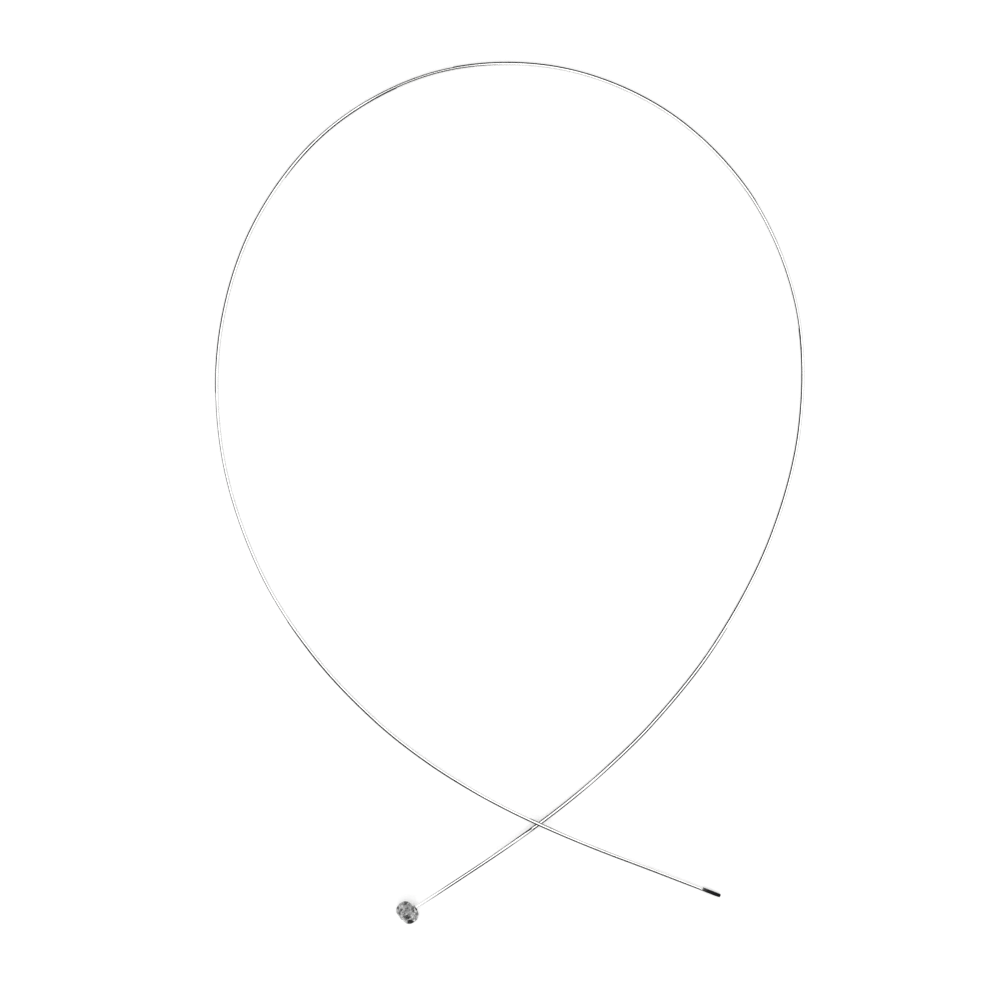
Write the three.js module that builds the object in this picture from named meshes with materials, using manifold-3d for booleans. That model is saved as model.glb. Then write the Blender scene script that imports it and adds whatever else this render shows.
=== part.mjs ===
// A universal control cable: the inner wire of a brake or throttle control.
// A zinc barrel is cast round one end of a steel strand, and the other end is fused to a hard tip.
// It lies on a flat surface in one loop that crosses itself. Millimetres, +Z up, surface at z = 0,
// origin on that surface, under the middle of the nipple.
import * as THREE from 'three';
import { mergeVertices } from 'three/addons/utils/BufferGeometryUtils.js';
import Module from 'manifold-3d';

// Strand
const strandDiameter = 1.5;
const strandSides = 8;
const strandSteps = 80;
const endGap = 0.3; // between the strand's end and the piece that it meets

// Nipple, a barrel whose two halves were cast in two halves of a die
const nippleDiameter = 7.2; // at the parting plane, where the strand comes out
const nippleLength = 7.0;
const rimRadius = 0.22;
const draft = THREE.MathUtils.degToRad(1.2);
const flashHeight = 0.18; // the thin ridge where the die halves met
const flashWidth = 0.5;
const nippleLean = THREE.MathUtils.degToRad(45); // rolled over to the left, seen along the strand
const nippleSegments = 48;

// Collar of metal that the die leaves round the strand, and the socket that the strand fills
const collarLength = 0.6;
const collarWall = 0.55;
const collarFlare = 0.35;
const strandPastAxis = 2.0; // how far the strand's end lies beyond the barrel's axis
const socketClearance = 0.3;

// Round mark of the pin that pushed the casting out of the die
const pinMarkDiameter = 2.8;
const pinMarkDepth = 0.15;

// Fused tip
const tipLength = 8.0;
const tipDiameter = 1.5;
const tipEndRadius = 0.5;
const wireCount = 12; // outer wires, whose grooves can still be seen in the tip
const grooveDepth = 0.05;
const layLength = 13.0; // one full turn of a wire round the strand
const tipRings = 16;
const facesPerWire = 4;

// Where the middle of the strand lies, from its end inside the nipple to the tip.
// The nipple holds it 5 mm up, and near its tip it climbs over itself in a long low hump.
const strandRoute = [
  [-1.81, -1.17, 4.75],
  [4.2, 2.7, 5.21],
  [24.9, 16.1, 4.2],
  [39.6, 25.8, 2.82],
  [54.7, 36.5, 1.78],
  [67.8, 46.6, 1.22],
  [81.9, 58.7, 0.86],
  [101.0, 77.5, 0.76],
  [126.6, 109.8, 0.76],
  [149.7, 153.6, 0.76],
  [162.0, 201.4, 0.76],
  [160.2, 250.7, 0.76],
  [141.0, 296.1, 0.76],
  [105.9, 330.6, 0.76],
  [60.1, 348.4, 0.76],
  [11.0, 346.1, 0.76],
  [-32.5, 323.1, 0.76],
  [-63.0, 284.4, 0.76],
  [-77.6, 237.4, 0.76],
  [-76.5, 188.0, 0.76],
  [-61.3, 141.0, 0.76],
  [-39.3, 106.1, 0.77],
  [-13.9, 79.1, 0.99],
  [7.1, 62.4, 1.7],
  [26.2, 50.3, 2.6],
  [42.5, 41.6, 3.32],
  [59.3, 33.8, 3.6],
  [78.3, 25.8, 3.12],
  [99.6, 17.6, 2.0],
  [129.0, 6.2, 0.78],
];

const wasm = await Module();
wasm.setup();

const routePoints = strandRoute.map((place) => new THREE.Vector3(...place));
const route = new THREE.CatmullRomCurve3(routePoints, false, 'centripetal');
route.arcLengthDivisions = 2000;

// A stretch of another curve, from one length along it to another.
class Stretch extends THREE.Curve {
  constructor(whole, from, to) {
    super();
    this.whole = whole;
    this.from = from / whole.getLength();
    this.to = to / whole.getLength();
  }

  getPoint(t, target = new THREE.Vector3()) {
    return this.whole.getPointAt(THREE.MathUtils.lerp(this.from, this.to, t), target);
  }
}

function toSolid(geometry) {
  const bare = geometry.clone();
  bare.deleteAttribute('normal');
  bare.deleteAttribute('uv');
  const merged = mergeVertices(bare, 1e-4);
  return new wasm.Manifold(new wasm.Mesh({
    numProp: 3,
    vertProperties: new Float32Array(merged.attributes.position.array),
    triVerts: new Uint32Array(merged.index.array),
  }));
}

function toGeometry(solid) {
  const mesh = solid.getMesh();
  const geometry = new THREE.BufferGeometry();
  geometry.setAttribute('position', new THREE.BufferAttribute(mesh.vertProperties, 3));
  geometry.setIndex(new THREE.BufferAttribute(mesh.triVerts, 1));
  geometry.computeVertexNormals();
  return geometry;
}

function named(name, geometry, material) {
  const mesh = new THREE.Mesh(geometry, material);
  mesh.name = name;
  return mesh;
}

// The barrel turned about +Z: flat ends, rounded rims, sides that taper towards both ends by the
// draft, and the flash ridge at mid length.
function barrelGeometry() {
  const half = nippleLength / 2;
  const widest = nippleDiameter / 2;
  const atRim = widest - half * Math.tan(draft);
  const atFlash = widest - (flashWidth / 2) * Math.tan(draft);
  const halfCrest = flashWidth / 6; // the ridge's flat top is a third of its width
  const profile = new THREE.Path();
  profile.moveTo(0, -half);
  profile.lineTo(atRim - rimRadius, -half);
  profile.absarc(atRim - rimRadius, rimRadius - half, rimRadius, -Math.PI / 2, 0, false);
  profile.lineTo(atFlash, -flashWidth / 2);
  profile.lineTo(widest + flashHeight, -halfCrest);
  profile.lineTo(widest + flashHeight, halfCrest);
  profile.lineTo(atFlash, flashWidth / 2);
  profile.absarc(atRim - rimRadius, half - rimRadius, rimRadius, 0, Math.PI / 2, false);
  profile.lineTo(0, half);
  return new THREE.LatheGeometry(profile.getPoints(4), nippleSegments).rotateX(Math.PI / 2);
}

// The collar about +X, flared where it meets the barrel's side.
function collarGeometry() {
  const mouth = strandDiameter / 2 + socketClearance + collarWall;
  const side = nippleDiameter / 2;
  const root = Math.sqrt(side * side - (mouth + collarFlare) ** 2);
  const profile = [
    new THREE.Vector2(0, 0),
    new THREE.Vector2(mouth + collarFlare, 0),
    new THREE.Vector2(mouth + collarFlare, root),
    new THREE.Vector2(mouth + collarFlare / 3, side),
    new THREE.Vector2(mouth, side + collarLength),
    new THREE.Vector2(0, side + collarLength),
  ];
  return new THREE.LatheGeometry(profile, nippleSegments / 2).rotateZ(-Math.PI / 2);
}

// A plain round cutter about +X between two places on it.
function cutterAlongX(diameter, from, to) {
  const length = to - from;
  const cutter = new THREE.CylinderGeometry(diameter / 2, diameter / 2, length, nippleSegments / 2);
  return cutter.rotateZ(Math.PI / 2).translate(from + length / 2, 0, 0);
}

function makeNipple() {
  const socketEnd = -strandPastAxis - endGap;
  const mouth = nippleDiameter / 2 + 2 * collarLength; // well past the collar's face
  const socket = cutterAlongX(strandDiameter + 2 * socketClearance, socketEnd, mouth);
  const pinMark = new THREE.CylinderGeometry(
    pinMarkDiameter / 2, pinMarkDiameter / 2, 2 * pinMarkDepth, nippleSegments / 2,
  ).rotateX(Math.PI / 2).translate(0, 0, nippleLength / 2);
  const casting = toSolid(barrelGeometry())
    .add(toSolid(collarGeometry()))
    .subtract(toSolid(socket))
    .subtract(toSolid(pinMark));
  const zinc = new THREE.MeshStandardMaterial({ color: 0x9a9a96, roughness: 0.5, metalness: 0.9 });
  return named('nipple', toGeometry(casting), zinc);
}

// The nipple's +X runs out along the strand, and its barrel leans over until its rim rests.
function placeNipple(nipple) {
  const out = new THREE.Vector3(...strandRoute[1]).sub(new THREE.Vector3(...strandRoute[0])).normalize();
  nipple.position.set(...strandRoute[0]).addScaledVector(out, strandPastAxis);
  nipple.rotation.set(-nippleLean, -Math.asin(out.z), Math.atan2(out.y, out.x), 'ZYX');
  return nipple;
}

// The strand without its fused end, as a tube of its outside diameter.
function makeStrand(length) {
  const section = new THREE.Shape();
  for (let side = 0; side < strandSides; side += 1) {
    const angle = ((side + 0.5) / strandSides) * 2 * Math.PI;
    const x = (strandDiameter / 2) * Math.cos(angle);
    const y = (strandDiameter / 2) * Math.sin(angle);
    if (side === 0) section.moveTo(x, y);
    else section.lineTo(x, y);
  }
  section.closePath();
  const geometry = new THREE.ExtrudeGeometry(section, {
    steps: strandSteps,
    extrudePath: new Stretch(route, 0, length),
  });
  const steel = new THREE.MeshStandardMaterial({ color: 0xc4c5c6, roughness: 0.25, metalness: 1.0 });
  return named('strand', geometry, steel);
}

// The tip about +Y: a round-ended rod whose surface keeps the helical grooves between the wires,
// full depth at the strand and faded out at the end, where the weld has closed them.
function tipGeometry() {
  const radius = tipDiameter / 2;
  const straight = tipLength - tipEndRadius;
  const profile = [new THREE.Vector2(0, 0)];
  for (let ring = 0; ring <= tipRings; ring += 1) {
    profile.push(new THREE.Vector2(radius, (straight * ring) / tipRings));
  }
  for (let step = 1; step <= 3; step += 1) {
    const angle = (step / 4) * (Math.PI / 2);
    const inward = tipEndRadius * (1 - Math.cos(angle));
    profile.push(new THREE.Vector2(radius - inward, straight + tipEndRadius * Math.sin(angle)));
  }
  profile.push(new THREE.Vector2(radius - tipEndRadius, tipLength));
  profile.push(new THREE.Vector2(0, tipLength));
  const geometry = new THREE.LatheGeometry(profile, wireCount * facesPerWire);
  const place = geometry.attributes.position;
  for (let i = 0; i < place.count; i += 1) {
    const along = place.getY(i);
    const turn = Math.atan2(place.getZ(i), place.getX(i)) - (along / layLength) * 2 * Math.PI;
    const groove = 0.5 - 0.5 * Math.cos(wireCount * turn);
    const kept = THREE.MathUtils.clamp(1 - along / straight, 0, 1);
    const scale = 1 - (grooveDepth / radius) * groove * kept;
    place.setX(i, place.getX(i) * scale);
    place.setZ(i, place.getZ(i) * scale);
  }
  return geometry;
}

function makeTip(from, to) {
  const burnt = new THREE.MeshStandardMaterial({ color: 0x3d3d3e, roughness: 0.45, metalness: 0.9 });
  const tip = named('fused_tip', tipGeometry(), burnt);
  const start = route.getPointAt(from / route.getLength());
  const end = route.getPointAt(to / route.getLength());
  tip.position.copy(start);
  tip.quaternion.setFromUnitVectors(new THREE.Vector3(0, 1, 0), end.sub(start).normalize());
  return tip;
}

const fullLength = route.getLength();
const cable = new THREE.Group();
cable.add(placeNipple(makeNipple()));
cable.add(makeStrand(fullLength - tipLength - endGap));
cable.add(makeTip(fullLength - tipLength, fullLength));

export default cable;
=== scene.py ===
import math
import bpy
import numpy as np
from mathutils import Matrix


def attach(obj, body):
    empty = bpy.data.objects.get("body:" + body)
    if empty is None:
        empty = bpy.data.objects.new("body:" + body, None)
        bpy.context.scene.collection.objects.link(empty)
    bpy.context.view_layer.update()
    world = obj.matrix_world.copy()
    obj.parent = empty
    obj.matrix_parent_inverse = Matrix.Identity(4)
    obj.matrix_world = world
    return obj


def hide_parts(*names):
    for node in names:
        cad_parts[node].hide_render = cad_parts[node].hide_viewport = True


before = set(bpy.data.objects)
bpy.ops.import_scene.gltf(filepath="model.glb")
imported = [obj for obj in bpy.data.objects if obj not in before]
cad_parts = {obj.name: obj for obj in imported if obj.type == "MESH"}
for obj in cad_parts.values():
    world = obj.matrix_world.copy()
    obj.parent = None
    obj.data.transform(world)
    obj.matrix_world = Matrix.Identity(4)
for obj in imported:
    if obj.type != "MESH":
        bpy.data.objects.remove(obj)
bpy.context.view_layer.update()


# Camera
# It looks straight down on the cable from 1.2 m above the ground, with the top of the picture
# towards +Y. At this focal length a millimetre of the ground is 2.42 pixels of the picture.
camera_data = bpy.data.cameras.new("camera")
camera_data.sensor_width = 36.0
camera_data.lens = 104.44
camera_data.clip_start = 0.05
camera_data.clip_end = 50.0
camera = bpy.data.objects.new("camera", camera_data)
camera.location = (0.0382, 0.16947, 1.2)
bpy.context.scene.collection.objects.link(camera)
bpy.context.scene.camera = camera
bpy.context.scene.view_settings.view_transform = "Standard"


# Strand
# One core wire, six inner wires and twelve outer wires of drawn steel, laid in a left-hand
# helix and then drawn through a last die, which flattens the outer wires to one smooth round.
# Its first millimetres are cast into the nipple, and its last eight are fused to a tip.
STRAND_DIAMETER = 0.0015
OUTER_WIRES = 12
LAY_LENGTH = 0.013
GROOVE_DEPTH = 0.000025
GROOVE_SHARPNESS = 12.0
GROOVE_EDGE = 0.46
POINTS_ACROSS_WIRE = (-0.5, -GROOVE_EDGE, -0.3, 0.3, GROOVE_EDGE)
STRAND_RINGS = 1310
TIP_LENGTH = 0.008

STRAND_ROUTE = 0.001 * np.array([
    (-1.81, -1.17, 4.75), (4.2, 2.7, 5.21), (24.9, 16.1, 4.2), (39.6, 25.8, 2.82),
    (54.7, 36.5, 1.78), (67.8, 46.6, 1.22), (81.9, 58.7, 0.86), (101.0, 77.5, 0.76),
    (126.6, 109.8, 0.76), (149.7, 153.6, 0.76), (162.0, 201.4, 0.76), (160.2, 250.7, 0.76),
    (141.0, 296.1, 0.76), (105.9, 330.6, 0.76), (60.1, 348.4, 0.76), (11.0, 346.1, 0.76),
    (-32.5, 323.1, 0.76), (-63.0, 284.4, 0.76), (-77.6, 237.4, 0.76), (-76.5, 188.0, 0.76),
    (-61.3, 141.0, 0.76), (-39.3, 106.1, 0.77), (-13.9, 79.1, 0.99), (7.1, 62.4, 1.7),
    (26.2, 50.3, 2.6), (42.5, 41.6, 3.32), (59.3, 33.8, 3.6), (78.3, 25.8, 3.12),
    (99.6, 17.6, 2.0), (129.0, 6.2, 0.78),
])


def smooth_line(points, steps=200):
    """A centripetal Catmull-Rom curve through the points: on each span a cubic whose end slopes
    come from the three chords around it, each chord weighed by the square root of its length."""
    ends = np.vstack([2 * points[0] - points[1], points, 2 * points[-1] - points[-2]])
    before, start, stop, after = ends[:-3], ends[1:-2], ends[2:-1], ends[3:]

    def weight(chord):
        return np.sqrt(np.linalg.norm(chord, axis=1))[:, None]

    w0, w1, w2 = weight(start - before), weight(stop - start), weight(after - stop)
    slope_in = ((start - before) / w0 - (stop - before) / (w0 + w1) + (stop - start) / w1) * w1
    slope_out = ((stop - start) / w1 - (after - start) / (w1 + w2) + (after - stop) / w2) * w1
    t = np.linspace(0, 1, steps, endpoint=False)[None, :, None]
    a, b, m, n = (x[:, None, :] for x in (start, stop, slope_in, slope_out))
    curve = a + m * t + (3 * (b - a) - 2 * m - n) * t**2 + (2 * (a - b) + m + n) * t**3
    return np.vstack([curve.reshape(-1, 3), points[-1]])


def line_lengths(line):
    """How far along the line each of its points is: the running sum of its chords."""
    return np.concatenate([[0], np.cumsum(np.linalg.norm(np.diff(line, axis=0), axis=1))])


def places_on(line, lengths, wanted):
    """Points, directions, level side vectors and upward vectors at the wanted lengths: each
    coordinate is interpolated along the line, and the side is the cross product of the
    vertical with the direction."""
    points = np.stack([np.interp(wanted, lengths, line[:, k]) for k in range(3)], axis=1)
    slopes = np.gradient(line, lengths, axis=0)
    ahead = np.stack([np.interp(wanted, lengths, slopes[:, k]) for k in range(3)], axis=1)
    ahead /= np.linalg.norm(ahead, axis=1)[:, None]
    side = np.cross((0.0, 0.0, 1.0), ahead)
    side /= np.linalg.norm(side, axis=1)[:, None]
    return points, ahead, side, np.cross(ahead, side)


def wire_columns():
    """Angles round the strand of one ring's columns, in turns, and how far each lies from the
    middle of its wire, in wire pitches."""
    across = np.tile(POINTS_ACROSS_WIRE, OUTER_WIRES)
    wire = np.repeat(np.arange(OUTER_WIRES), len(POINTS_ACROSS_WIRE))
    return (wire + 0.5 + across) / OUTER_WIRES, across


def laid_rings(points, side, up, along, radius, groove):
    """Rings round a line, one per point. Each column follows its wire's left-hand helix, so its
    angle falls by one turn in each lay length, and its radius is the strand's less the groove,
    which grows with a high power of the distance from the middle of the wire."""
    turns, across = wire_columns()
    angle = 2 * math.pi * (turns[None, :] - along[:, None] / LAY_LENGTH)
    out = radius[:, None] - groove[:, None] * np.abs(2 * across[None, :]) ** GROOVE_SHARPNESS
    return (
        points[:, None, :]
        + (out * np.cos(angle))[:, :, None] * side[:, None, :]
        + (out * np.sin(angle))[:, :, None] * up[:, None, :]
    )


def smooth_mesh(name, corners, quads, triangles):
    """A smooth-shaded mesh of those corners and faces, the quads first."""
    loops = np.concatenate([quads.ravel(), triangles.ravel()])
    sizes = np.concatenate([np.full(len(quads), 4), np.full(len(triangles), 3)])
    starts = np.concatenate([[0], np.cumsum(sizes)[:-1]])
    mesh = bpy.data.meshes.new(name)
    mesh.vertices.add(len(corners))
    mesh.vertices.foreach_set("co", corners.astype(np.float32).ravel())
    mesh.loops.add(len(loops))
    mesh.loops.foreach_set("vertex_index", loops.astype(np.int32))
    mesh.polygons.add(len(sizes))
    mesh.polygons.foreach_set("loop_start", starts.astype(np.int32))
    mesh.update(calc_edges=True)
    mesh.validate()
    mesh.shade_smooth()
    return mesh


def unroll(mesh, uv_along, uv_around, round_total):
    """Gives a tube's mesh its UV map, from one value for each ring and one for each column. The
    faces past the last column end round_total on from where the first column began."""
    u = np.broadcast_to(uv_along[:, None], (len(uv_along), len(uv_around)))
    once_round = np.append(uv_around, uv_around[0] + round_total)
    v = np.broadcast_to(once_round[None, :-1], u.shape)
    v_right = np.broadcast_to(once_round[None, 1:], u.shape)

    def laid_out(face_corners):
        return np.stack([np.stack(uv, axis=-1) for uv in face_corners], axis=-2).reshape(-1, 2)

    places = np.concatenate([
        laid_out([(u[:-1], v[:-1]), (u[:-1], v_right[:-1]), (u[1:], v_right[1:]), (u[1:], v[1:])]),
        laid_out([(u[0], v_right[0]), (u[0], v[0]), (u[0], v[0])]),
        laid_out([(u[-1], v[-1]), (u[-1], v_right[-1]), (u[-1], v[-1])]),
    ])
    layer = mesh.uv_layers.new(name="along_and_around")
    layer.data.foreach_set("uv", places.astype(np.float32).ravel())


def crease(mesh, ring_corners, columns, sharp_columns):
    """Marks the edges that run along the sharp columns of a tube as sharp."""
    pairs = np.zeros(len(mesh.edges) * 2, np.int32)
    mesh.edges.foreach_get("vertices", pairs)
    pairs = pairs.reshape(-1, 2)
    column = pairs % columns
    in_rings = (pairs < ring_corners).all(axis=1)
    along = column[:, 0] == column[:, 1]
    edge_mark = mesh.attributes.new("sharp_edge", "BOOLEAN", "EDGE")
    edge_mark.data.foreach_set("value", in_rings & along & np.isin(column[:, 0], sharp_columns))


def closed_tube(name, rings, uv_along, uv_around, round_total, sharp_columns=()):
    """An object whose quads join each ring to the next and each column to its neighbour, with the
    first and last ring closed by a fan to its middle. rings is rings x columns x 3, and its
    columns turn so that the faces point outwards. uv_around grows by round_total in one round."""
    count, columns = rings.shape[:2]
    grid = np.arange(count * columns).reshape(count, columns)
    right = np.roll(grid, -1, axis=1)
    quads = np.stack([grid[:-1], right[:-1], right[1:], grid[1:]], axis=2).reshape(-1, 4)
    first_middle, last_middle = grid.size, grid.size + 1
    fans = np.concatenate([
        np.stack([right[0], grid[0], np.full(columns, first_middle)], axis=1),
        np.stack([grid[-1], right[-1], np.full(columns, last_middle)], axis=1),
    ])
    middles = np.stack([rings[0].mean(axis=0), rings[-1].mean(axis=0)])
    mesh = smooth_mesh(name, np.concatenate([rings.reshape(-1, 3), middles]), quads, fans)
    unroll(mesh, uv_along, uv_around, round_total)
    if len(sharp_columns):
        crease(mesh, grid.size, columns, sharp_columns)
    piece = bpy.data.objects.new(name, mesh)
    bpy.context.scene.collection.objects.link(piece)
    return piece


def node(material, kind, place=(0, 0), **settings):
    """A node of that kind in the material, with its settings and its sockets' values set."""
    made = material.node_tree.nodes.new(kind)
    made.location = place
    for key, value in settings.items():
        if key in made.bl_rna.properties:
            setattr(made, key, value)
        else:
            made.inputs[key.replace("_", " ")].default_value = value
    return made


def math_node(owner, operation, *values):
    """A Math node in a material or the world, whose inputs are numbers or other nodes' outputs.
    Returns its output."""
    made = owner.node_tree.nodes.new("ShaderNodeMath")
    made.operation = operation
    for socket, value in zip(made.inputs, values):
        if isinstance(value, (int, float)):
            socket.default_value = value
        else:
            owner.node_tree.links.new(value, socket)
    return made.outputs[0]


def ramp(material, factor, stops):
    """A Color Ramp from position to grey value or colour. Returns its colour output."""
    made = material.node_tree.nodes.new("ShaderNodeValToRGB")
    material.node_tree.links.new(factor, made.inputs[0])
    elements = made.color_ramp.elements
    while len(elements) < len(stops):
        elements.new(0.5)
    for element, (position, colour) in zip(elements, stops):
        element.position = position
        grey = (colour,) * 3 if isinstance(colour, (int, float)) else colour
        element.color = (*grey, 1.0)
    return made.outputs[0]


def strand_steel():
    """Bright drawn steel. Each wire differs a little in tone, fine drawing lines run along it,
    and the grooves between the wires are darker, partly from a film of oil and dust and partly as
    painted shade."""
    steel = bpy.data.materials.new("drawn_steel_wire")
    steel.use_nodes = True
    links = steel.node_tree.links
    shader = steel.node_tree.nodes["Principled BSDF"]
    shader.inputs["Metallic"].default_value = 1.0
    uv = node(steel, "ShaderNodeUVMap", uv_map="along_and_around")
    parts = node(steel, "ShaderNodeSeparateXYZ")
    links.new(uv.outputs[0], parts.inputs[0])
    along, around = parts.outputs[0], parts.outputs[1]
    in_wire = math_node(steel, "FRACT", around)
    from_groove = math_node(steel, "MINIMUM", in_wire, math_node(steel, "SUBTRACT", 1.0, in_wire))
    # Darker towards each groove: partly a film of oil and dust, partly painted shade between the wires.
    groove_oil_and_shade = ramp(steel, from_groove, [(0.0, 0.35), (0.04, 0.8), (0.1, 1.0)])

    wire_number = node(steel, "ShaderNodeTexWhiteNoise", noise_dimensions="1D")
    links.new(math_node(steel, "FLOOR", around), wire_number.inputs["W"])
    wire_tone = ramp(steel, wire_number.outputs["Value"], [(0.0, 0.92), (1.0, 1.0)])

    stretched = node(steel, "ShaderNodeCombineXYZ")
    links.new(math_node(steel, "MULTIPLY", along, 120.0), stretched.inputs[0])
    links.new(math_node(steel, "MULTIPLY", around, 7.0), stretched.inputs[1])
    lines = node(steel, "ShaderNodeTexNoise", Scale=1.0, Detail=4.0, Roughness=0.6)
    links.new(stretched.outputs[0], lines.inputs["Vector"])
    line_tone = ramp(steel, lines.outputs[0], [(0.3, 0.92), (0.7, 1.0)])

    coordinates = node(steel, "ShaderNodeTexCoord")
    patches = node(steel, "ShaderNodeTexNoise", Scale=160.0, Detail=3.0, Roughness=0.6)
    links.new(coordinates.outputs["Object"], patches.inputs["Vector"])
    patch_tone = ramp(steel, patches.outputs[0], [(0.32, 0.93), (0.62, 1.0)])

    tone = math_node(steel, "MULTIPLY", groove_oil_and_shade, wire_tone)
    tone = math_node(steel, "MULTIPLY", tone, line_tone)
    tone = math_node(steel, "MULTIPLY", tone, patch_tone)
    colour = node(steel, "ShaderNodeMix", data_type="RGBA", blend_type="MULTIPLY")
    colour.inputs["Factor"].default_value = 1.0
    colour.inputs["A"].default_value = (0.92, 0.92, 0.915, 1.0)
    links.new(tone, colour.inputs["B"])
    links.new(colour.outputs["Result"], shader.inputs["Base Color"])

    rough = ramp(steel, patches.outputs[0], [(0.3, 0.12), (0.7, 0.07)])
    links.new(rough, shader.inputs["Roughness"])
    bump = node(steel, "ShaderNodeBump", Strength=0.25, Distance=0.000005)
    links.new(lines.outputs[0], bump.inputs["Height"])
    links.new(bump.outputs[0], shader.inputs["Normal"])
    return steel


route_line = smooth_line(STRAND_ROUTE)
route_lengths = line_lengths(route_line)
whole_length = route_lengths[-1]
strand_along = np.linspace(0, whole_length - TIP_LENGTH, STRAND_RINGS)
strand_points, _, strand_side, strand_up = places_on(route_line, route_lengths, strand_along)
strand_rings = laid_rings(
    strand_points, strand_side, strand_up, strand_along,
    np.full(STRAND_RINGS, STRAND_DIAMETER / 2), np.full(STRAND_RINGS, GROOVE_DEPTH),
)
column_turns, across_wire = wire_columns()
around_in_wires = column_turns * OUTER_WIRES
groove_columns = np.flatnonzero(np.abs(across_wire) >= GROOVE_EDGE)
strand = closed_tube(
    "strand_wires", strand_rings, strand_along, around_in_wires, OUTER_WIRES, groove_columns
)
strand.data.materials.append(strand_steel())
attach(strand, "root")
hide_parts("strand")


# Fused tip
# The last eight millimetres of the same wires, welded together by a current and cut through hot,
# so that they can't fray. The grooves run on into it and fade where the metal has flowed.
TIP_RINGS = 96
TIP_END_RADIUS = 0.0005
TIP_SWELL = 0.00003
GROOVES_FADE_OVER = 0.9 * TIP_LENGTH


def tip_outline(from_start):
    """Radius along the tip: the strand's, a slight swelling in the middle, and at the end a
    quarter ellipse that closes it to a blunt round."""
    to_end = np.clip((from_start - (TIP_LENGTH - TIP_END_RADIUS)) / TIP_END_RADIUS, 0, 1)
    swell = TIP_SWELL * np.sin(math.pi * np.clip(from_start / TIP_LENGTH, 0, 1)) ** 2
    closing = TIP_END_RADIUS * (1 - np.sqrt(np.clip(1 - to_end**2, 0, 1)))
    return STRAND_DIAMETER / 2 + swell - closing


def fused_steel():
    """Weld-burnt steel: nearly black oxide, thinner and greyer towards the strand, with fine
    scale that makes it rough and pitted."""
    burnt = bpy.data.materials.new("weld_burnt_steel")
    burnt.use_nodes = True
    links = burnt.node_tree.links
    shader = burnt.node_tree.nodes["Principled BSDF"]
    shader.inputs["Metallic"].default_value = 0.5
    shader.inputs["Specular IOR Level"].default_value = 0.12
    uv = node(burnt, "ShaderNodeUVMap", uv_map="along_and_around")
    parts = node(burnt, "ShaderNodeSeparateXYZ")
    links.new(uv.outputs[0], parts.inputs[0])
    coordinates = node(burnt, "ShaderNodeTexCoord")
    scale = node(burnt, "ShaderNodeTexNoise", Scale=2600.0, Detail=5.0, Roughness=0.65)
    links.new(coordinates.outputs["Object"], scale.inputs["Vector"])
    ragged = math_node(burnt, "MULTIPLY_ADD", scale.outputs[0], 0.25, -0.125)
    share_of_tip = math_node(burnt, "DIVIDE", parts.outputs[0], TIP_LENGTH)
    heat = math_node(burnt, "ADD", share_of_tip, ragged)
    colour = ramp(burnt, heat, [
        (0.0, (0.2, 0.196, 0.192)), (0.08, (0.06, 0.059, 0.058)), (0.26, (0.013, 0.013, 0.014)),
        (1.0, (0.004, 0.004, 0.005)),
    ])
    links.new(colour, shader.inputs["Base Color"])
    rough = ramp(burnt, scale.outputs[0], [(0.3, 0.62), (0.7, 0.4)])
    links.new(rough, shader.inputs["Roughness"])
    bump = node(burnt, "ShaderNodeBump", Strength=0.6, Distance=0.00005)
    links.new(scale.outputs[0], bump.inputs["Height"])
    links.new(bump.outputs[0], shader.inputs["Normal"])
    return burnt


tip_from_start = TIP_LENGTH * np.sin(np.linspace(0, math.pi / 2, TIP_RINGS))
tip_along = whole_length - TIP_LENGTH + tip_from_start
tip_points, _, tip_side, tip_up = places_on(route_line, route_lengths, tip_along)
tip_groove = GROOVE_DEPTH * np.clip(1 - tip_from_start / GROOVES_FADE_OVER, 0, 1)
tip_rings = laid_rings(
    tip_points, tip_side, tip_up, tip_along, tip_outline(tip_from_start), tip_groove
)
tip = closed_tube("weld_fused_tip", tip_rings, tip_from_start, around_in_wires, OUTER_WIRES)
tip.data.materials.append(fused_steel())
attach(tip, "root")
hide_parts("fused_tip")


# Nipple
# A short barrel of zinc alloy, die-cast round the strand's end in a die of two halves. A thin
# flash ridge runs round its middle where the halves met, and a collar is left round the strand.
NIPPLE_DIAMETER = 0.0072
NIPPLE_LENGTH = 0.0070
NIPPLE_LEAN = math.radians(45)
RIM_RADIUS = 0.00022
SIDE_DRAFT = math.radians(1.2)
FLASH_HEIGHT = 0.00018
FLASH_WIDTH = 0.0005
COLLAR_REACH = 0.0042
COLLAR_MOUTH = 0.0010
COLLAR_TOP = 0.00135
COLLAR_FOOT = 0.00205
COLLAR_ROUNDING = 0.0002
SEAM_HEIGHT = 0.00009
SEAM_WIDTH = 0.00017
STRAND_PAST_AXIS = 0.002
PIN_MARK_RADIUS = 0.0014
PIN_MARK_EDGE = 0.00008
PIN_MARK_DEPTH = 0.00015
LOWER_MARK_DEPTH = 0.00006
RUBBED_HIGHLIGHT_BELOW_RIM = 0.0001
RUBBED_HIGHLIGHT_WIDTH = 0.00012
GROUND_GAP = 0.000003

# The skin's unevenness: the height, the wavelength and the random seed of each kind of lump.
SKIN_LUMPS = ((0.000022, 0.0017, 3), (0.000012, 0.0006, 5))
UPPER_END_LUMPS = (0.00003, 0.0011, 7)

FACE_RINGS = 40
ROUND_RINGS = 9
SIDE_RINGS = 44
RIDGE_RINGS = 15
NIPPLE_COLUMNS = 300
COLUMN_CROWDING = 0.66


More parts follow.
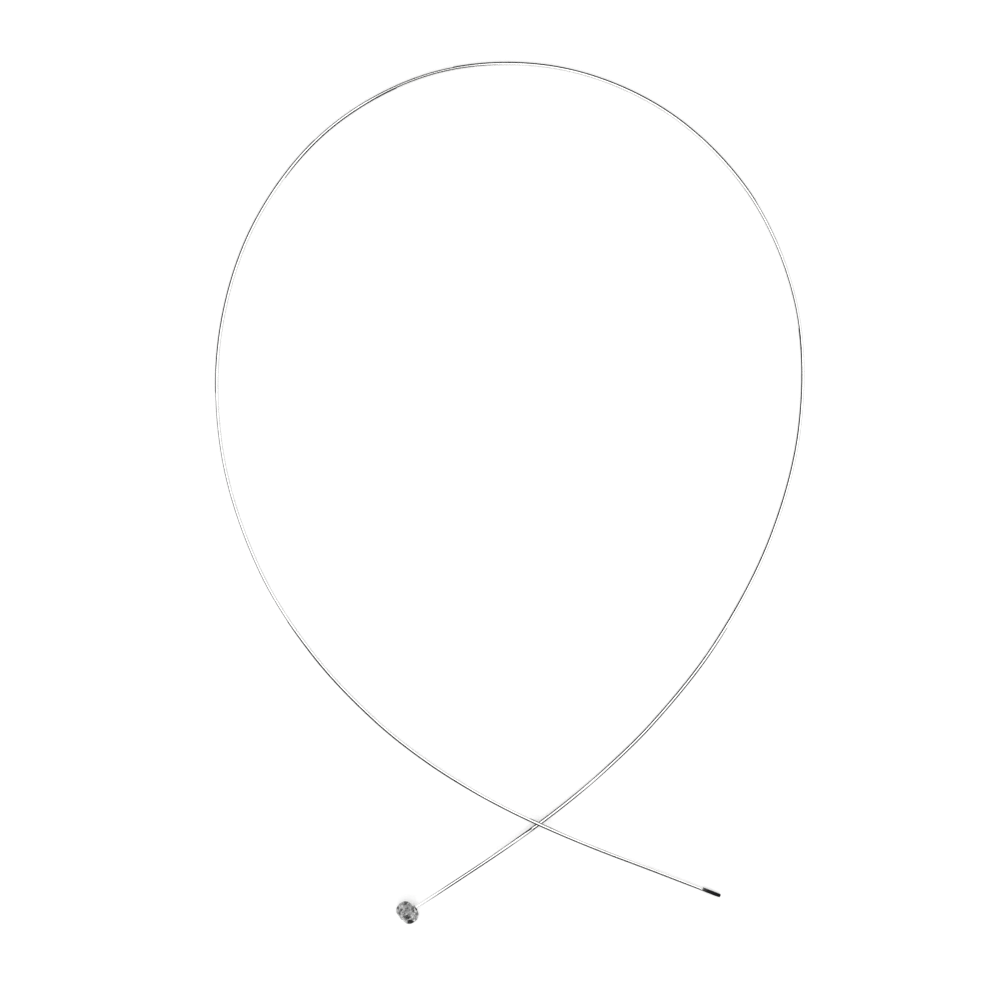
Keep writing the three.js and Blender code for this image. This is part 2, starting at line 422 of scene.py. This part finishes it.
def nipple_axes():
    """The barrel's centre and its three axes: out along the strand, across, and the barrel's own,
    which starts upright and is turned about the strand by the lean."""
    out = STRAND_ROUTE[1] - STRAND_ROUTE[0]
    out = out / np.linalg.norm(out)
    level = np.cross((0.0, 0.0, 1.0), out)
    level /= np.linalg.norm(level)
    upright = np.cross(out, level)
    barrel = math.cos(NIPPLE_LEAN) * upright + math.sin(NIPPLE_LEAN) * level
    return STRAND_ROUTE[0] + STRAND_PAST_AXIS * out, out, np.cross(barrel, out), barrel


def lumps(places, height, wavelength, seed):
    """Smooth noise: the sum of 24 cosine waves of about that wavelength, with random directions
    and phases, scaled so that it spreads by about the height."""
    draw = np.random.default_rng(seed)
    waves = draw.normal(size=(24, 3))
    waves *= (draw.uniform(0.7, 1.5, 24) / np.linalg.norm(waves, axis=1))[:, None]
    phases = draw.uniform(0, 2 * math.pi, 24)
    total = np.cos(places @ waves.T * (2 * math.pi / wavelength) + phases).sum(axis=-1)
    return height * total / math.sqrt(12)


def ease(x, low, high):
    """0 below low, 1 above high and a smooth cubic step between."""
    t = np.clip((x - low) / (high - low), 0, 1)
    return t * t * (3 - 2 * t)


def barrel_profile():
    """(radius, height) down the barrel's outline from the middle of its lower end to the middle
    of its upper end: a flat, a quarter round, the drafted side with the flash ridge, and back."""
    half = NIPPLE_LENGTH / 2
    rim = NIPPLE_DIAMETER / 2 - half * math.tan(SIDE_DRAFT)
    face = (rim - RIM_RADIUS) * np.linspace(0.02, 1, FACE_RINGS)
    turn = np.linspace(0, math.pi / 2, ROUND_RINGS)[1:]
    round_r = rim - RIM_RADIUS + RIM_RADIUS * np.sin(turn)
    round_z = half - RIM_RADIUS + RIM_RADIUS * np.cos(turn)
    coarse = (half - RIM_RADIUS) * np.linspace(1, 0, SIDE_RINGS)[1:-1]
    fine = FLASH_WIDTH * 0.7 * np.linspace(1, 0, RIDGE_RINGS)
    side_z = np.concatenate([coarse[coarse > fine[0]], fine])
    ridge = FLASH_HEIGHT * (1 - ease(side_z, FLASH_WIDTH / 6, FLASH_WIDTH / 2))
    side_r = NIPPLE_DIAMETER / 2 - side_z * math.tan(SIDE_DRAFT) + ridge
    upper_r = np.concatenate([face, round_r, side_r])
    upper_z = np.concatenate([np.full(FACE_RINGS, half), round_z, side_z])
    return np.concatenate([upper_r, upper_r[-2::-1]]), np.concatenate([-upper_z, upper_z[-2::-1]])


def draw_out_collar(x, y, z, on_side):
    """The barrel's side near the strand, drawn out along the strand to the collar's face, with a
    rounded edge and the seam of the die. Returns the new x and y, and how far each point was
    drawn, a smooth step that eases from 1 to 0 between two distances from the strand's middle."""
    from_strand = np.hypot(y, z)
    drawn = (1 - ease(from_strand, COLLAR_TOP, COLLAR_FOOT)) * on_side
    rounding = COLLAR_ROUNDING * ease(from_strand, COLLAR_MOUTH, COLLAR_TOP + COLLAR_ROUNDING / 2)
    seam = np.exp(-((z / SEAM_WIDTH) ** 2)) * 4 * drawn * (1 - drawn)
    return x + (COLLAR_REACH - rounding - x) * drawn, y + np.sign(y) * SEAM_HEIGHT * seam, drawn


def rubbed_and_highlight_share(radius, height, drawn):
    """How much wear from handling and a painted highlight brighten each point, from 0 to 1: wholly
    on the flash ridge's crest, by half along the rims and by seven tenths on the collar's flank."""
    on_ridge = (radius - NIPPLE_DIAMETER / 2)[:, None] / FLASH_HEIGHT * (1 - drawn)
    below_end = NIPPLE_LENGTH / 2 - np.abs(height)
    at_rim = np.exp(-(((below_end - RUBBED_HIGHLIGHT_BELOW_RIM) / RUBBED_HIGHLIGHT_WIDTH) ** 2))[:, None]
    at_rim = at_rim * (radius > NIPPLE_DIAMETER / 2 - 2 * RIM_RADIUS)[:, None]
    return np.clip(np.clip(on_ridge, 0, 1) + 0.5 * at_rim + 0.7 * 4 * drawn * (1 - drawn), 0, 1)


def nipple_rings():
    """The barrel turned about its axis, in its own axes, with its collar, the round marks of the
    ejector pin in its ends and its lumpy skin. The columns crowd together near the strand."""
    radius, height = barrel_profile()
    even = np.linspace(-1, 1, NIPPLE_COLUMNS, endpoint=False)
    angle = math.pi * ((1 - COLUMN_CROWDING) * even + COLUMN_CROWDING * even**3)
    x = radius[:, None] * np.cos(angle)[None, :]
    y = radius[:, None] * np.sin(angle)[None, :]
    z = np.broadcast_to(height[:, None], x.shape)
    on_side = (np.abs(height) < NIPPLE_LENGTH / 2 - RIM_RADIUS)[:, None] & (x > 0)
    x, y, drawn = draw_out_collar(x, y, z, on_side)

    upper = (height > NIPPLE_LENGTH / 2 - 1e-7)[:, None]
    lower = (height < -NIPPLE_LENGTH / 2 + 1e-7)[:, None]
    in_mark = 1 - ease(np.hypot(x, y), PIN_MARK_RADIUS - PIN_MARK_EDGE, PIN_MARK_RADIUS + PIN_MARK_EDGE)
    z = z - PIN_MARK_DEPTH * in_mark * upper + LOWER_MARK_DEPTH * in_mark * lower
    local = np.stack([x, y, z], axis=2)
    away = local / np.linalg.norm(local, axis=2)[:, :, None]
    skin = sum(lumps(local, *kind) for kind in SKIN_LUMPS) + lumps(local, *UPPER_END_LUMPS) * upper
    return local + away * skin[:, :, None], rubbed_and_highlight_share(radius, height, drawn)


def zinc_casting():
    """Die-cast zinc: a dull grey skin, mottled by oxide and by the die's flow marks, rough on a
    scale of tenths of a millimetre, and brighter on its ridges by wear from handling and by a painted
    highlight."""
    zinc = bpy.data.materials.new("cast_zinc")
    zinc.use_nodes = True
    links = zinc.node_tree.links
    shader = zinc.node_tree.nodes["Principled BSDF"]
    shader.inputs["Metallic"].default_value = 0.9
    coordinates = node(zinc, "ShaderNodeTexCoord")
    mottle = node(zinc, "ShaderNodeTexNoise", Scale=750.0, Detail=4.0, Roughness=0.6)
    grain = node(zinc, "ShaderNodeTexNoise", Scale=3600.0, Detail=4.0, Roughness=0.7)
    for texture in (mottle, grain):
        links.new(coordinates.outputs["Object"], texture.inputs["Vector"])
    mottle_tone = ramp(zinc, mottle.outputs[0], [(0.35, 0.09), (0.5, 0.32), (0.65, 0.72)])
    # Wear and painted highlight: where the attribute says so, the colour is lifted to a bright 0.95 and
    # the roughness lowered.
    rubbed_and_highlight = node(zinc, "ShaderNodeAttribute", attribute_name="rubbed_and_highlight")
    worn_and_highlight = math_node(zinc, "MULTIPLY", rubbed_and_highlight.outputs["Fac"], ramp(
        zinc, mottle.outputs[0], [(0.38, 0.25), (0.55, 1.0)]
    ))
    skin_and_worn_highlight = node(zinc, "ShaderNodeMix", data_type="RGBA")
    skin_and_worn_highlight.inputs["B"].default_value = (0.95, 0.95, 0.94, 1.0)
    links.new(worn_and_highlight, skin_and_worn_highlight.inputs["Factor"])
    links.new(mottle_tone, skin_and_worn_highlight.inputs["A"])
    grain_tone = ramp(zinc, grain.outputs[0], [(0.3, 0.75), (0.7, 1.1)])
    colour = node(zinc, "ShaderNodeMix", data_type="RGBA", blend_type="MULTIPLY")
    colour.inputs["Factor"].default_value = 1.0
    links.new(skin_and_worn_highlight.outputs["Result"], colour.inputs["A"])
    links.new(grain_tone, colour.inputs["B"])
    links.new(colour.outputs["Result"], shader.inputs["Base Color"])
    rough = ramp(zinc, mottle.outputs[0], [(0.35, 0.4), (0.65, 0.26)])
    links.new(math_node(zinc, "MULTIPLY_ADD", worn_and_highlight, -0.15, rough), shader.inputs["Roughness"])
    bump = node(zinc, "ShaderNodeBump", Strength=0.5, Distance=0.00006)
    links.new(grain.outputs[0], bump.inputs["Height"])
    links.new(bump.outputs[0], shader.inputs["Normal"])
    return zinc


nipple_centre, nipple_out, nipple_across, nipple_barrel = nipple_axes()
nipple_local, nipple_rubbed_and_highlight = nipple_rings()
nipple_world = (
    nipple_centre
    + nipple_local[:, :, :1] * nipple_out
    + nipple_local[:, :, 1:2] * nipple_across
    + nipple_local[:, :, 2:] * nipple_barrel
)
nipple_world[:, :, 2] = np.maximum(nipple_world[:, :, 2], GROUND_GAP)
nipple = closed_tube(
    "cast_barrel_nipple", nipple_world,
    np.linspace(0, 1, nipple_world.shape[0]), np.linspace(0, 1, NIPPLE_COLUMNS, endpoint=False), 1,
)

# Per point, how much wear from handling and a painted highlight brighten the zinc.
rubbed_and_highlight_mark = nipple.data.attributes.new("rubbed_and_highlight", "FLOAT", "POINT")
rubbed_and_highlight_mark.data.foreach_set(
    "value", np.append(nipple_rubbed_and_highlight.ravel(), (0.0, 0.0)).astype(np.float32)
)
nipple.data.materials.append(zinc_casting())
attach(nipple, "root")
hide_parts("nipple")


# Ground
# A sheet of matt white board, large enough that its edge is never seen. Its own light, seen by
# the camera and by reflections, brings it to the photograph's plain white and keeps its shadows.
GROUND_SIZE = 12.0
BOARD_GLOW = 0.24


def seen_directly(owner):
    """1 where the camera, a reflection or clear glass sees the surface and 0 where it only lights
    other things, for a material or the world."""
    rays = owner.node_tree.nodes.new("ShaderNodeLightPath")
    in_metal_or_glass = math_node(
        owner, "MAXIMUM", rays.outputs["Is Glossy Ray"], rays.outputs["Is Transmission Ray"]
    )
    return math_node(owner, "MAXIMUM", rays.outputs["Is Camera Ray"], in_metal_or_glass)


ground_mesh = bpy.data.meshes.new("ground")
half_ground = GROUND_SIZE / 2
ground_mesh.from_pydata(
    [(-half_ground, -half_ground, 0), (half_ground, -half_ground, 0),
     (half_ground, half_ground, 0), (-half_ground, half_ground, 0)],
    [], [(0, 1, 2, 3)],
)
ground = bpy.data.objects.new("ground", ground_mesh)
bpy.context.scene.collection.objects.link(ground)
board = bpy.data.materials.new("white_board")
board.use_nodes = True
board_shader = board.node_tree.nodes["Principled BSDF"]
board_shader.inputs["Base Color"].default_value = (0.9, 0.9, 0.9, 1.0)
board_shader.inputs["Roughness"].default_value = 0.9
board_shader.inputs["Specular IOR Level"].default_value = 0.1
board_shader.inputs["Emission Color"].default_value = (1.0, 1.0, 1.0, 1.0)
board_glow = math_node(board, "MULTIPLY", seen_directly(board), BOARD_GLOW)
board.node_tree.links.new(board_glow, board_shader.inputs["Emission Strength"])
ground_mesh.materials.append(board)


# Light
# A studio of soft white light: the room's own light from all round, a large soft lamp above the
# table and a small one in front of it. Strips of black card stand close along the wire and
# beside the nipple, as a photographer stands them round bright metal, for the wire's dark lines.
ROOM_LIGHT = 0.76
ROOM_SEEN = 1.0

world = bpy.data.worlds.new("studio")
bpy.context.scene.world = world
world.use_nodes = True
room_light = world.node_tree.nodes["Background"]
room_light.inputs["Color"].default_value = (1.0, 1.0, 1.0, 1.0)
room_strength = world.node_tree.nodes.new("ShaderNodeMapRange")
room_strength.inputs["To Min"].default_value = ROOM_LIGHT
room_strength.inputs["To Max"].default_value = ROOM_SEEN
world.node_tree.links.new(seen_directly(world), room_strength.inputs["Value"])
world.node_tree.links.new(room_strength.outputs[0], room_light.inputs["Strength"])

TABLE_MIDDLE = np.array([0.04, 0.17, 0.0])


def soft_lamp(name, place, size, power):
    """A square lamp that faces the middle of the table."""
    data = bpy.data.lights.new(name, "AREA")
    data.shape = "SQUARE"
    data.size = size
    data.energy = power
    lamp = bpy.data.objects.new(name, data)
    lamp.location = place
    aim = np.array(place) - TABLE_MIDDLE
    lamp.rotation_euler = (
        math.atan2(math.hypot(aim[0], aim[1]), aim[2]), 0.0,
        math.atan2(aim[1], aim[0]) + math.pi / 2,
    )
    bpy.context.scene.collection.objects.link(lamp)
    return lamp


soft_lamp("lamp_above", (0.04, 0.17, 1.5), 1.0, 4.5)
soft_lamp("lamp_in_front", (0.08, -0.55, 0.75), 0.3, 1.2).visible_glossy = False


CARD_NEAR = 0.0009
CARD_LIFT = 0.0003
CARD_RUN_OUT = 0.02
CARD_STEP = 0.004

card_paper = bpy.data.materials.new("black_card")
card_paper.use_nodes = True
card_shader = card_paper.node_tree.nodes["Principled BSDF"]
card_shader.inputs["Base Color"].default_value = (0.02, 0.02, 0.02, 1.0)
card_shader.inputs["Roughness"].default_value = 0.9

# Each card along the strand: from and to, as lengths along it, hand (+1 left, -1 right), how far
# away it stands, its height, and whether it has a flat leaf of painted shade.
DARK_CARDS = (
    (0.018, 0.050, -1, 0.006, 0.018, True), (0.026, 0.050, 1, 0.015, 0.018, False),
    (0.055, 0.095, -1, 0.004, 0.0045, True), (0.055, 0.095, 1, 0.004, 0.0045, True),
    (0.100, 0.170, -1, 0.015, 0.020, True), (0.100, 0.170, 1, 0.015, 0.020, True),
    (0.170, 0.300, 1, 0.015, 0.030, True), (0.300, 0.345, 1, 0.015, 0.060, False),
    (0.345, 0.375, -1, 0.015, 0.015, False), (0.345, 0.375, 1, 0.015, 0.015, False),
    (0.375, 0.460, -1, 0.015, 0.050, True), (0.460, 0.500, -1, 0.015, 0.070, True),
    (0.500, 0.545, -1, 0.015, 0.080, False), (0.500, 0.545, 1, 0.015, 0.080, False),
    (0.545, 0.585, -1, 0.015, 0.020, False), (0.545, 0.585, 1, 0.015, 0.030, True),
    (0.585, 0.680, -1, 0.015, 0.025, True), (0.680, 0.800, -1, 0.015, 0.015, False),
    (0.800, 0.895, -1, 0.015, 0.080, True), (0.890, 0.955, -1, 0.003, 0.0115, True),
    (0.950, 0.995, -1, 0.015, 0.080, True),
)


def put_card(name, corners, faces):
    """A black card that only reflections see, so that it darkens the metal beside it, and neither
    shows in the picture nor takes light from the ground."""
    mesh = bpy.data.meshes.new(name)
    mesh.from_pydata(corners, [], faces)
    mesh.materials.append(card_paper)
    card = bpy.data.objects.new(name, mesh)
    bpy.context.scene.collection.objects.link(card)
    card.visible_camera = False
    card.visible_diffuse = False
    card.visible_shadow = False


def card_along_strand(name, start, end, hand, away, height, with_shade_leaf):
    """A strip of card along the strand from one length to another. It stands on the ground and
    runs out to nothing at both ends. Where it has a second leaf, that leaf lies flat between its
    foot and the strand, as painted shade on the ground beside the wire for the metal to reflect."""
    start, end = start - CARD_RUN_OUT / 2, end + CARD_RUN_OUT / 2
    wanted = np.linspace(start, end, max(12, round((end - start) / CARD_STEP)))
    top = height * np.clip(np.minimum(wanted - start, end - wanted) / CARD_RUN_OUT, 0.02, 1)
    points, _, side, _ = places_on(route_line, route_lengths, wanted)
    near, far = ((points + hand * aside * side)[:, :2] for aside in (CARD_NEAR, away))
    lift = np.full(len(wanted), CARD_LIFT)
    lines = [(near, lift), (far, lift), (far, np.maximum(top, 2 * CARD_LIFT))]
    # Painted shade: with the leaf, the card starts from a black sheet lying on the ground next to the
    # strand.
    lines = lines if with_shade_leaf else lines[1:]
    corners = np.concatenate([np.column_stack(line) for line in lines])
    grid = np.arange(len(corners)).reshape(len(lines), -1)
    faces = np.stack([grid[:-1, :-1], grid[:-1, 1:], grid[1:, 1:], grid[1:, :-1]], axis=2)
    put_card(name, corners.tolist(), faces.reshape(-1, 4).tolist())


for number, card_place in enumerate(DARK_CARDS):
    card_along_strand(f"dark_card_{number}", *card_place)

# The card by the nipple: a wall in front of it, and a leaf that lies between the two, as painted shade
# on the ground for the nipple to reflect.
NIPPLE_CARD_HEIGHT = 0.016
WALL_LEFT, WALL_RIGHT = (-0.0040, -0.0185), (0.0090, -0.0145)
LEAF_LEFT, LEAF_RIGHT = (-0.0015, -0.0075), (0.0050, -0.0050)
put_card(
    "dark_card_by_nipple",
    [(*WALL_LEFT, CARD_LIFT), (*WALL_RIGHT, CARD_LIFT), (*WALL_LEFT, NIPPLE_CARD_HEIGHT),
     (*WALL_RIGHT, NIPPLE_CARD_HEIGHT), (*LEAF_LEFT, CARD_LIFT), (*LEAF_RIGHT, CARD_LIFT)],
    [(0, 1, 3, 2), (4, 5, 1, 0)],
)
